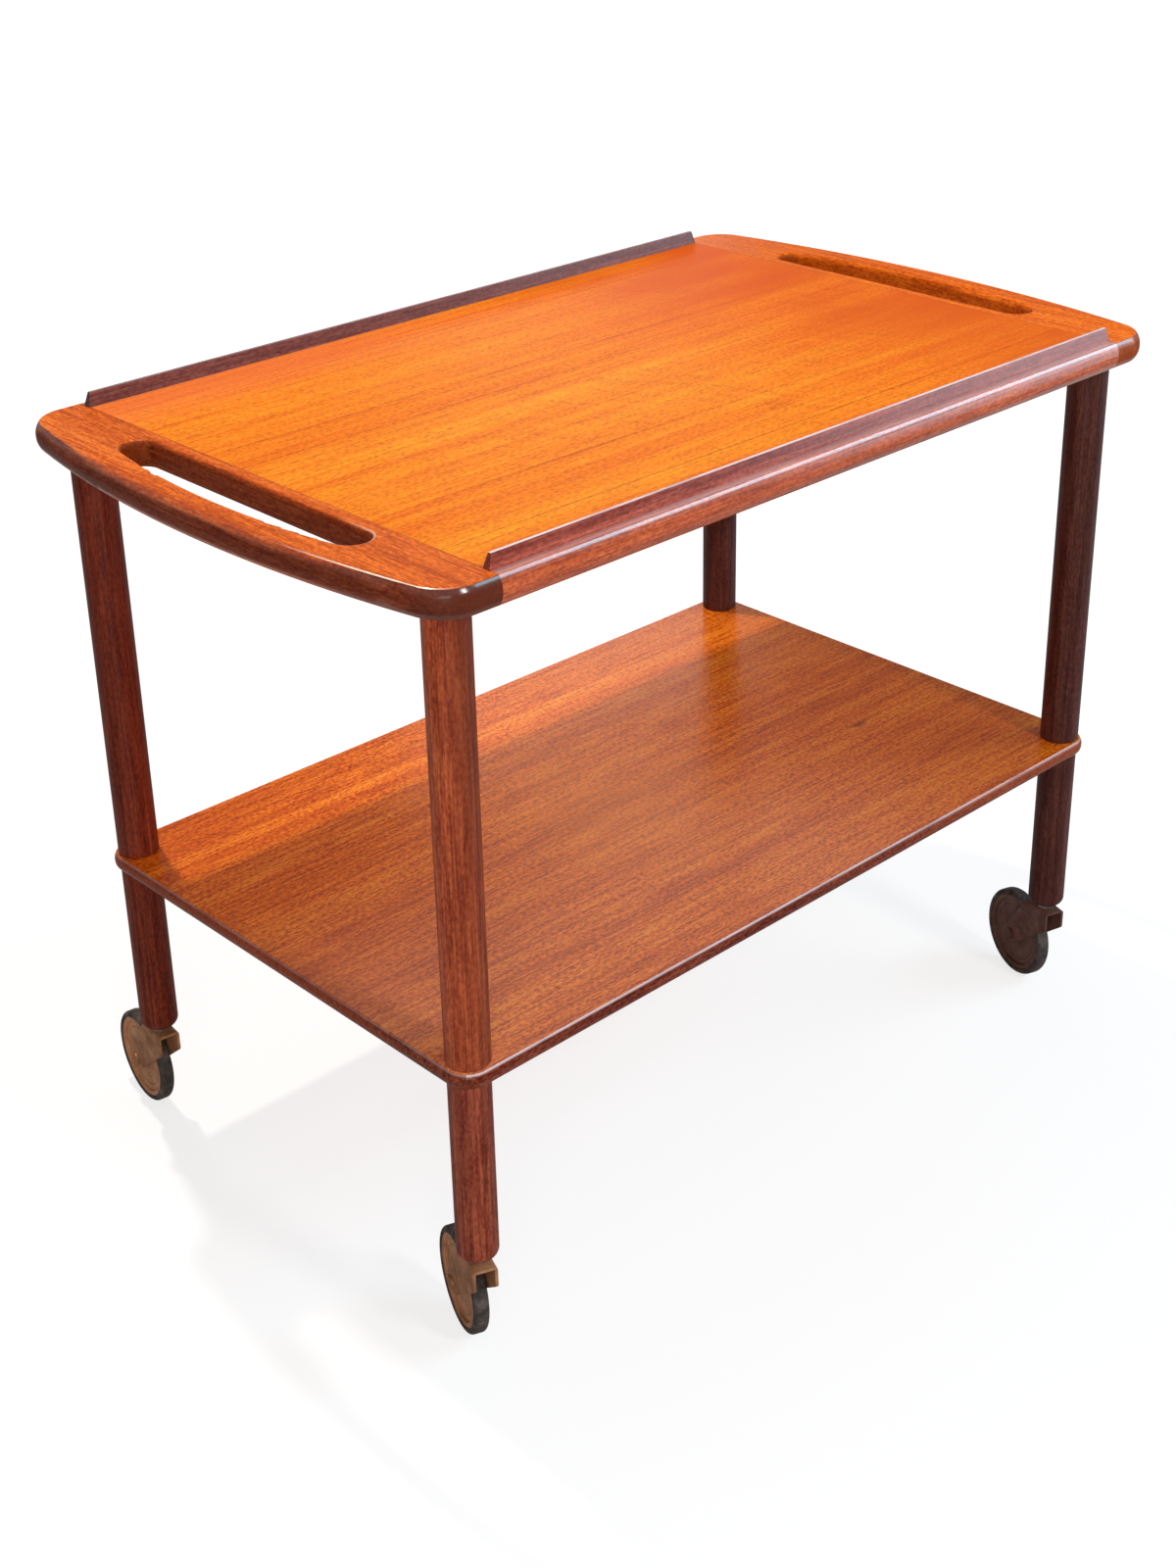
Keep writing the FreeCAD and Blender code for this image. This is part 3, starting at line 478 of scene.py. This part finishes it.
def shelf_marks(graph, color):
    """A small dark knot in the veneer, and painted light: a sheen in the middle, a reflection haze at the
    front, shadow towards the left end and shade towards the right end.
    """
    knot_place = (0.2246, -0.0626, 0.0)
    knot_stretch = (0.4, 1.0, 0.0)
    knot_step = (0.0042, 0.0012)
    knot_share = 0.85
    knot = (0.10, 0.022, 0.010)
    middle_sheen_place = (-0.02, -0.01, 0.248)
    middle_sheen_step = (0.17, 0.0)
    middle_sheen_share = 0.30
    painted_middle_sheen = (0.97, 0.36, 0.09)
    left_step = (-0.08, -0.30)
    left_shadow_front_step = (-0.17, -0.08)
    left_shadow_share = 0.30
    painted_left_shadow = (0.45, 0.066, 0.004)
    haze_step = (0.08, -0.16)
    haze_end_step = (0.30, 0.0)
    haze_face_step = (0.90, 0.98)
    haze_share = 0.24
    painted_front_haze = (0.90, 0.50, 0.38)
    right_step = (0.0, 0.30)
    right_share = 0.42
    painted_right_shade = (0.40, 0.066, 0.004)
    x, y = graph.xyz[0], graph.xyz[1]
    off_knot = graph.vector("MULTIPLY", graph.vector("SUBTRACT", graph.place, knot_place), knot_stretch)
    in_knot = graph.remap(graph.vector("LENGTH", off_knot), knot_step, (0.0, knot_share))
    color = graph.mix(in_knot, color, knot)
    # Painted sheen in the middle of the shelf
    off_middle = graph.vector("DISTANCE", graph.place, middle_sheen_place)
    color = graph.mix(graph.remap(off_middle, middle_sheen_step, (0.0, middle_sheen_share)), color, painted_middle_sheen)
    # Painted shadow towards the left end, away from the front
    left_shadow = graph.remap(x, left_step, (0.0, left_shadow_share))
    color = graph.mix(graph.times(left_shadow, graph.remap(y, left_shadow_front_step)), color, painted_left_shadow)
    # Painted reflection haze on the front of the level face
    frontward = graph.remap(y, haze_step, (0.0, haze_share))
    on_face = graph.remap(graph.facing[2], haze_face_step)
    color = graph.mix(graph.times(frontward, graph.remap(x, haze_end_step), on_face), color, painted_front_haze)
    # Painted shade towards the right end
    return graph.mix(graph.remap(x, right_step, (0.0, right_share)), color, painted_right_shade)


def near_leg_painted_shade(graph, color):
    """Painted shade on the near leg: the side turned towards the right front is darker, most of all at the
    top under the tray.
    """
    shaded_side_step = (-0.008, 0.016)
    painted_shade_tone = (0.080, 0.012, 0.004)
    height_step = (0.30, 0.55)
    depth_range = (0.40, 0.70)
    x, y, z = graph.split(graph.vector("SUBTRACT", graph.place, NEAR_LEG_PLACE))
    shaded_side = graph.remap(graph.math("SUBTRACT", x, y), shaded_side_step)
    return graph.mix(graph.times(shaded_side, graph.remap(z, height_step, depth_range)), color, painted_shade_tone)


# Each wood's dark, middle and light tone

PANEL = ((0.78, 0.146, 0.007), (0.92, 0.222, 0.010), (0.97, 0.298, 0.014))
END_LEFT = ((0.48, 0.070, 0.005), (0.68, 0.118, 0.010), (0.84, 0.190, 0.024))
END_LEFT_SIDE = ((0.13, 0.024, 0.010), (0.20, 0.039, 0.017), (0.28, 0.062, 0.028))
END_RIGHT = ((0.60, 0.090, 0.002), (0.80, 0.144, 0.004), (0.90, 0.190, 0.008))
END_RIGHT_SIDE = ((0.30, 0.050, 0.008), (0.44, 0.080, 0.013), (0.54, 0.110, 0.020))
EDGE = ((0.34, 0.052, 0.012), (0.52, 0.092, 0.024), (0.64, 0.132, 0.042))
STRIP_FRONT = ((0.21, 0.032, 0.018), (0.33, 0.057, 0.032), (0.45, 0.094, 0.056))
# The back strip's greyer, more purple tones are partly its own wood and partly a painted bluish reflection
STRIP_BACK_WITH_PAINTED_SHEEN = ((0.100, 0.030, 0.024), (0.150, 0.045, 0.037), (0.210, 0.066, 0.055))
SHELF = ((0.56, 0.090, 0.004), (0.84, 0.180, 0.009), (0.93, 0.250, 0.018))
SHELF_SIDE = ((0.12, 0.020, 0.008), (0.19, 0.032, 0.013), (0.26, 0.050, 0.022))
LEG_NEAR = ((0.21, 0.034, 0.013), (0.39, 0.070, 0.023), (0.50, 0.100, 0.036))
LEG_LEFT = ((0.10, 0.012, 0.005), (0.165, 0.022, 0.008), (0.22, 0.034, 0.013))
LEG_DARK_AND_SHADED = ((0.044, 0.010, 0.007), (0.072, 0.018, 0.013), (0.105, 0.028, 0.020))
FOOT_NEAR = ((0.15, 0.028, 0.014), (0.26, 0.050, 0.024), (0.35, 0.076, 0.038))
BEECH = ((0.36, 0.22, 0.11), (0.48, 0.31, 0.17), (0.58, 0.40, 0.24))
# Leg tones differ partly in the wood and partly as painted light: the near leg and its foot are painted
# lighter, the right-hand legs darker as painted shade
UPPER_LEGS = {"front_left": LEG_NEAR, "front_right": LEG_DARK_AND_SHADED,
              "back_left": LEG_LEFT, "back_right": LEG_DARK_AND_SHADED}
LOWER_LEGS = {**UPPER_LEGS, "front_left": FOOT_NEAR}


# Tray

dress("tray_panel", wood, axis="X", tones=PANEL, bands=45.0, band_share=0.55, lines=80.0,
      line_width=0.0010, line_depth=0.9, pores=0.25, figure=0.08, speckle=0.25, streaks=0.10, leaf=0.106,
      leaf_depth=0.06, roughness=0.42, shine=0.04, marks=tray_marks)

END_GRAIN = dict(axis="Y", side_area=end_sides, bands=90.0, lines=110.0, line_width=0.0005, roughness=0.34,
                 coat=0.8, coat_area=outer_corner)
dress("handle_end_left", wood, tones=END_LEFT, side_tones=END_LEFT_SIDE, shift=(0.31, 0.0, 0.4),
      line_depth=0.35, pores=0.5, flecks=0.5, nicks=0.5, shine=0.06, marks=handled_corner, **END_GRAIN)
dress("handle_end_right", wood, tones=END_RIGHT, side_tones=END_RIGHT_SIDE, shift=(0.9, 0.2, 0.1),
      line_depth=0.3, pores=0.4, flecks=0.4, shine=0.05, marks=right_end_marks, **END_GRAIN)

# The tray lippings carry a painted reflection on their level faces
EDGE_GRAIN = dict(axis="X", tones=EDGE, bands=120.0, lines=150.0, line_width=0.0005, pores=0.5, wear=0.30,
                  wear_area=level_face, roughness=0.22, shine=0.5, coat=0.9, coat_area=face_and_round)
dress("tray_lipping_front", wood, shift=(0.0, 0.0, 0.3), **EDGE_GRAIN)
dress("tray_lipping_back", wood, shift=(0.0, 0.7, 0.3), **EDGE_GRAIN)

# The strips carry a painted highlight on their tops
STRIP_GRAIN = dict(axis="X", bands=160.0, lines=180.0, line_width=0.0004, pores=0.45, wear_area=strip_top,
                   roughness=0.24)
dress("gallery_strip_front", wood, tones=STRIP_FRONT, shift=(1.3, 0.0, 0.6), wear=1.0, shine=0.6,
      **STRIP_GRAIN)
dress("gallery_strip_back", wood, tones=STRIP_BACK_WITH_PAINTED_SHEEN, shift=(1.3, 0.9, 0.6), wear=0.25, shine=0.4,
      **STRIP_GRAIN)

dress("end_tongue_left", wood, axis="Y", tones=BEECH, shift=(0.4, 0.0, 0.0), roughness=0.6)
dress("end_tongue_right", wood, axis="Y", tones=BEECH, shift=(0.4, 0.5, 0.0), roughness=0.6)


# Shelf

SHELF_GRAIN = dict(axis="X", tones=SHELF, shift=(0.0, 0.03, 2.0), bands=40.0, band_share=0.52, lines=60.0,
                   line_width=0.0011, line_depth=0.5, pores=0.4, speckle=0.55, streaks=0.32, leaf=0.094,
                   leaf_depth=0.45, roughness=0.24, shine=0.2, marks=shelf_marks)
# The share of painted highlight along each shelf lipping's arris
SHELF_PAINTED_HIGHLIGHTS = {"front": 0.85, "back": 0.3, "left": 0.3, "right": 0.3}
dress("shelf_panel", wood, **SHELF_GRAIN)
for side, highlight_amount in SHELF_PAINTED_HIGHLIGHTS.items():
    dress(f"shelf_lipping_{side}", wood, side_tones=SHELF_SIDE, end_dark=0.0, nicks=0.6, wear=highlight_amount,
          wear_area=shelf_arris, coat=0.12, coat_area=rounded_corner, **SHELF_GRAIN)


# Legs

LEG_SHIFT = (0.13, 0.37, 0.21)
LEG_GRAIN = dict(axis="Z", bands=110.0, band_share=0.42, lines=190.0, line_width=0.0009, line_depth=0.35,
                 pores=0.45, flecks=0.2, nicks=0.6, speckle=0.30, streaks=0.34, roughness=0.40, shine=0.18)
# The near leg carries painted shade
LEG_MARKS = {"upper_leg_front_left": near_leg_painted_shade}
for length, corner_tones in (("upper_leg", UPPER_LEGS), ("lower_leg", LOWER_LEGS)):
    for number, corner in enumerate(CORNERS):
        leg = f"{length}_{corner}"
        leg_shift = tuple(number * part for part in LEG_SHIFT)
        dress(leg, wood, tones=corner_tones[corner], shift=leg_shift, marks=LEG_MARKS.get(leg), **LEG_GRAIN)


# Casters

def worn_metal(name, tones, roughness, metallic):
    """Metal with stains in clouds and fine dark grit."""
    cloud_cells = (60.0, 60.0, 60.0)
    cloud_stops = (0.30, 0.50, 0.68)
    grit_cells = (900.0, 900.0, 900.0)
    grit_step = (0.60, 0.72)
    roughness_range = (roughness + 0.12, roughness - 0.08)
    bump_depth = 0.00006
    graph = new_graph(name)
    cloud = graph.noise(graph.place, cloud_cells, detail=5.0, roughness=0.62)
    grit = graph.noise(graph.place, grit_cells, roughness=0.6)
    color = graph.mix(graph.remap(grit, grit_step), graph.ramp(cloud, cloud_stops, tones), tones[0])
    rough = graph.remap(cloud, MIDDLE_STEP, roughness_range)
    return graph.finish(color, rough, grit, bump_depth, Metallic=metallic)


def distance_from_axle(graph, corner):
    """How far a place is from the axle's line."""
    joint = [item for item in frame["joints"] if item["name"] == f"roll_{corner}"][0]
    offset = graph.vector("SUBTRACT", graph.place, tuple(joint["pos_m"]))
    return graph.vector("LENGTH", graph.vector("CROSS_PRODUCT", offset, tuple(joint["axis"])))


def moulded_disc(name, corner, tones):
    """Brown moulded disc with rings, fine grooves, stains and dark grit."""
    ring_cells = (420.0, 1.0, 1.0)
    ring_share = 0.5
    cloud_cells = (70.0, 70.0, 70.0)
    tone_stops = (0.36, 0.50, 0.64)
    groove_cells = (900.0, 1.0, 1.0)
    groove_step = (0.58, 0.70)
    groove_share = 0.55
    grit_cells = (1100.0, 1100.0, 1100.0)
    grit_step = (0.60, 0.70)
    grit_share = 0.5
    roughness_range = (0.62, 0.46)
    bump_depth = 0.0001
    shine = 0.35
    graph = new_graph(name)
    outward = graph.join(distance_from_axle(graph, corner), 0.0, 0.0)
    ring = graph.noise(outward, ring_cells, roughness=0.6)
    cloud = graph.noise(graph.place, cloud_cells, detail=4.0, roughness=0.6)
    tone = graph.total(graph.times(ring, ring_share), graph.times(cloud, 1.0 - ring_share))
    color = graph.ramp(tone, tone_stops, tones)
    groove = graph.remap(graph.noise(outward, groove_cells, detail=1.0), groove_step)
    color = graph.mix(graph.times(groove, groove_share), color, tones[0])
    grit = graph.remap(graph.noise(graph.place, grit_cells, detail=1.0), grit_step)
    color = graph.mix(graph.times(grit, grit_share), color, tones[0])
    rough = graph.remap(cloud, MIDDLE_STEP, roughness_range)
    height = graph.math("SUBTRACT", ring, groove)
    return graph.finish(color, rough, height, bump_depth, Specular_IOR_Level=shine)


def dusty_rubber(name, tones):
    """Hard dark rubber, dusty, with pale grit pressed into the tread."""
    cloud_cells = (90.0, 90.0, 90.0)
    cloud_stops = (0.35, 0.52, 0.70)
    grit_cells = (520.0, 520.0, 520.0)
    grit_step = (0.66, 0.74)
    grit_share = 0.6
    pale_grit = (0.30, 0.25, 0.21)
    roughness_range = (0.72, 0.55)
    bump_depth = 0.0001
    shine = 0.3
    graph = new_graph(name)
    cloud = graph.noise(graph.place, cloud_cells, detail=4.0, roughness=0.6)
    grit = graph.noise(graph.place, grit_cells)
    color = graph.ramp(cloud, cloud_stops, tones)
    color = graph.mix(graph.remap(grit, grit_step, (0.0, grit_share)), color, pale_grit)
    rough = graph.remap(cloud, MIDDLE_STEP, roughness_range)
    return graph.finish(color, rough, grit, bump_depth, Specular_IOR_Level=shine)


RUST = ((0.21, 0.083, 0.033), (0.38, 0.160, 0.068), (0.52, 0.260, 0.120))
# Darker copies of the rust and disc tones for the right-hand casters: painted shade
RUST_PAINTED_SHADE = ((0.070, 0.026, 0.017), (0.130, 0.050, 0.034), (0.210, 0.090, 0.060))
DISC = ((0.27, 0.115, 0.052), (0.55, 0.250, 0.122), (0.70, 0.370, 0.195))
DISC_PAINTED_SHADE = ((0.065, 0.028, 0.021), (0.130, 0.058, 0.043), (0.200, 0.095, 0.070))
RUBBER = ((0.030, 0.023, 0.021), (0.066, 0.052, 0.047), (0.140, 0.106, 0.092))
STEEL = ((0.16, 0.14, 0.12), (0.30, 0.28, 0.26), (0.45, 0.43, 0.40))
RUST_TONES = {"front_left": RUST, "front_right": RUST_PAINTED_SHADE, "back_left": RUST, "back_right": RUST_PAINTED_SHADE}
DISC_TONES = {"front_left": DISC, "front_right": DISC_PAINTED_SHADE, "back_left": DISC, "back_right": DISC_PAINTED_SHADE}
for corner in CORNERS:
    dress(f"caster_fork_{corner}", worn_metal, tones=RUST_TONES[corner], roughness=0.58, metallic=0.15)
    dress(f"wheel_axle_{corner}", worn_metal, tones=RUST_TONES[corner], roughness=0.5, metallic=0.5)
    for piece in ("caster_socket", "swivel_stem", "thrust_washer"):
        dress(f"{piece}_{corner}", worn_metal, tones=STEEL, roughness=0.42, metallic=0.9)
    dress(f"wheel_disc_{corner}", moulded_disc, corner=corner, tones=DISC_TONES[corner])
    dress(f"wheel_tyre_{corner}", dusty_rubber, tones=RUBBER)
dress("leg_studs", worn_metal, tones=STEEL, roughness=0.4, metallic=0.9)


# Floor, light and camera

def background_share(graph, mirror_share):
    """How much of the white background a ray sees: all from the camera, a share in mirrors and glass."""
    rays = graph.add("ShaderNodeLightPath").outputs
    in_mirror = graph.math("MAXIMUM", rays["Is Glossy Ray"], rays["Is Transmission Ray"])
    return graph.math("MAXIMUM", rays["Is Camera Ray"], graph.times(in_mirror, mirror_share))


def pale_floor():
    """A wide floor that takes the shadows and glows towards white for the camera."""
    reach = 14.0
    gray = (0.34, 0.34, 0.34, 1.0)
    glow_step = (0.5, 2.6)
    glow_range = (0.74, 0.95)
    mirror_share = 0.1
    outline = [(-reach, -reach, 0.0), (reach, -reach, 0.0), (reach, reach, 0.0), (-reach, reach, 0.0)]
    mesh = bpy.data.meshes.new("floor")
    mesh.from_pydata(outline, [], [(0, 1, 2, 3)])
    floor = bpy.data.objects.new("floor", mesh)
    bpy.context.scene.collection.objects.link(floor)
    graph = new_graph("pale_floor")
    paint = graph.add("ShaderNodeBsdfDiffuse")
    paint.inputs["Color"].default_value = gray
    glow = graph.add("ShaderNodeEmission")
    level = graph.remap(graph.vector("LENGTH", graph.place), glow_step, glow_range)
    graph.put(glow.inputs["Strength"], graph.times(background_share(graph, mirror_share), level))
    both = graph.add("ShaderNodeAddShader")
    graph.put(both.inputs[0], paint.outputs[0])
    graph.put(both.inputs[1], glow.outputs[0])
    graph.show(both.outputs[0])
    mesh.materials.append(graph.owner)


def studio_world():
    """White for the camera, and a low even light on the object."""
    even_light = 0.25
    mirror_share = 0.08
    world = bpy.data.worlds.new("studio")
    graph = Graph(world)
    seen = background_share(graph, mirror_share)
    sky = graph.add("ShaderNodeBackground")
    graph.put(sky.inputs["Strength"], graph.total(even_light, graph.times(seen, 1.0 - even_light)))
    sky.inputs["Color"].default_value = (1.0, 1.0, 1.0, 1.0)
    graph.show(sky.outputs[0], "ShaderNodeOutputWorld")
    bpy.context.scene.world = world


def turned_to(place, right, up, back):
    """Where a lamp or the camera is, with its own right, up and back directions."""
    return Matrix.Translation(place) @ Matrix((right, up, back)).transposed().to_4x4()


def soft_lamp(name, place, target, sides, power, color, along=(1.0, 0.0, 0.0)):
    """A glowing rectangle that faces its target. Along is the way of its first side, as near as can be."""
    lamp = bpy.data.lights.new(name, "AREA")
    lamp.shape = "RECTANGLE"
    lamp.size, lamp.size_y = sides
    lamp.energy = power
    lamp.color = color
    item = bpy.data.objects.new(name, lamp)
    back = (Vector(place) - Vector(target)).normalized()
    right = (Vector(along) - Vector(along).dot(back) * back).normalized()
    item.matrix_world = turned_to(place, right, back.cross(right), back)
    item.visible_camera = False
    bpy.context.scene.collection.objects.link(item)


def photo_camera():
    """The photograph's own view: where it was taken from, its tilt, its turn and its framing."""
    place = Vector((-1.0778, -1.1240, 1.0939))
    azimuth = math.radians(-42.66)
    elevation = math.radians(25.39)
    roll = math.radians(1.34)
    sensor_width = 36.0
    lens = 50.755
    frame_shift = (0.0080, -0.0725)
    level_back = math.cos(elevation)
    back = Vector((math.sin(azimuth) * level_back, -math.cos(azimuth) * level_back, math.sin(elevation)))
    right = Vector((0.0, 0.0, 1.0)).cross(back).normalized()
    up = back.cross(right)
    turned_right = right * math.cos(roll) - up * math.sin(roll)
    turned_up = up * math.cos(roll) + right * math.sin(roll)
    data = bpy.data.cameras.new("camera")
    data.sensor_width = sensor_width
    data.lens = lens
    data.shift_x, data.shift_y = frame_shift
    camera = bpy.data.objects.new("camera", data)
    camera.matrix_world = turned_to(place, turned_right, turned_up, back)
    bpy.context.scene.collection.objects.link(camera)
    bpy.context.scene.camera = camera


WARM = (1.0, 0.93, 0.84)
pale_floor()
studio_world()
soft_lamp("ceiling_lamp", place=(-0.1, 0.94, 2.9), target=(0.0, 0.1, 0.5), sides=(0.1, 0.1), power=39.0,
          color=WARM)
soft_lamp("far_ceiling_lamp", place=(0.25, 1.85, 2.9), target=(0.0, 0.1, 0.5), sides=(0.35, 0.35),
          power=6.0, color=WARM)
soft_lamp("side_window", place=(1.84, -1.56, 1.84), target=(0.0, -0.22, 0.59), sides=(1.9, 0.65),
          power=27.0, color=(0.49, 0.80, 1.0), along=(0.91, 0.31, -0.287))
soft_lamp("low_window", place=(1.95, -1.45, 0.65), target=(0.2, -0.2, 0.55), sides=(1.0, 1.0), power=9.5,
          color=(0.80, 0.87, 1.0))
soft_lamp("front_window", place=(0.0, -2.5, 2.1), target=(0.0, 0.0, 0.4), sides=(0.4, 0.7), power=26.0,
          color=(1.0, 0.97, 0.94))
soft_lamp("room_fill", place=(-1.5, -1.5, 0.8), target=(0.0, 0.0, 0.4), sides=(0.9, 0.9), power=16.0,
          color=(1.0, 0.95, 0.90))
soft_lamp("doorway", place=(1.25, 1.42, 0.98), target=(0.2, 0.15, 0.25), sides=(0.55, 0.34), power=1.4,
          color=(1.0, 0.90, 0.82))
photo_camera()
bpy.context.scene.view_settings.view_transform = "Standard"
